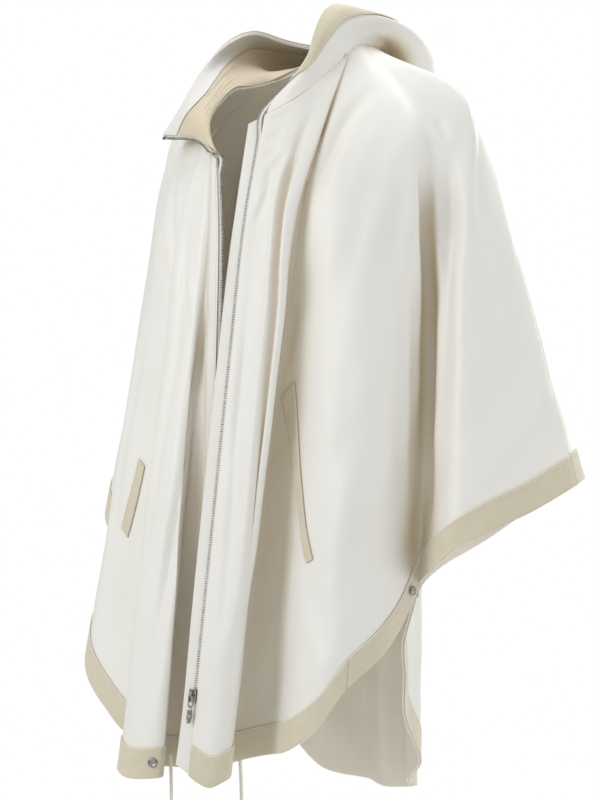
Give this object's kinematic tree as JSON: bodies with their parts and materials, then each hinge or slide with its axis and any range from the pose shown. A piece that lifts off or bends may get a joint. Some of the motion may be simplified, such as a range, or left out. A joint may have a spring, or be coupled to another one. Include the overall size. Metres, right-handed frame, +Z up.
{
  "type": "hooded cape",
  "caption": "Hooded hip-length cape worn open, with a full-length metal zip, stand collar running into a fallen hood, leather edge bands, slanted pocket welts and hem drawcords.",
  "frame": {"origin": "middle of the neck opening, where the cape is held up", "axes": "+Z up; the open front faces -Y; the garment's own left side is +X"},
  "size_m": [0.5833, 0.3882, 0.8612],
  "materials": {
    "cloth": "ivory technical cloth with a silky sheen",
    "white_cloth": "white fine cloth, flap, placket and inner facing",
    "lining": "beige satin lining",
    "leather": "cream suede leather with a fine nap",
    "metal": "antique silver",
    "cord": "ivory braided cord"
  },
  "bodies": {
    "cape": {"front_left": "cloth", "back": "cloth", "front_right": "cloth", "hood_left": "cloth", "hood_right": "cloth", "flap_left": "white_cloth", "placket_right": "white_cloth", "hood_facing": "white_cloth", "hood_lining": "lining", "hood_trim": "leather", "hem_trim_left": "leather", "hem_trim_left_arm": "leather", "hem_trim_back": "leather", "hem_trim_right_arm": "leather", "hem_trim_right": "leather", "welt_left": "leather", "welt_right": "leather", "zip_left": "metal", "zip_right": "metal", "zip_stop_left": "metal", "zip_stop_right": "metal", "slider": "metal", "snap_left_front": "metal", "snap_left_back": "metal", "snap_right_front": "metal", "snap_right_back": "metal", "snap_hem_right": "metal", "drawcord_left": "cord", "drawcord_right": "cord", "cord_knot_left": "cord", "cord_knot_right": "cord"},
    "pull": {"pull_link": "metal", "pull_ring": "metal", "pull_tab": "metal"}
  },
  "joints": [
    {"name": "pull_swing", "type": "hinge", "parent": "cape", "child": "pull", "pos_m": [0.03374, -0.19043, -0.59965], "axis": [-0.9738, -0.224, 0.0388], "range_deg": [0, 150]}
  ]
}
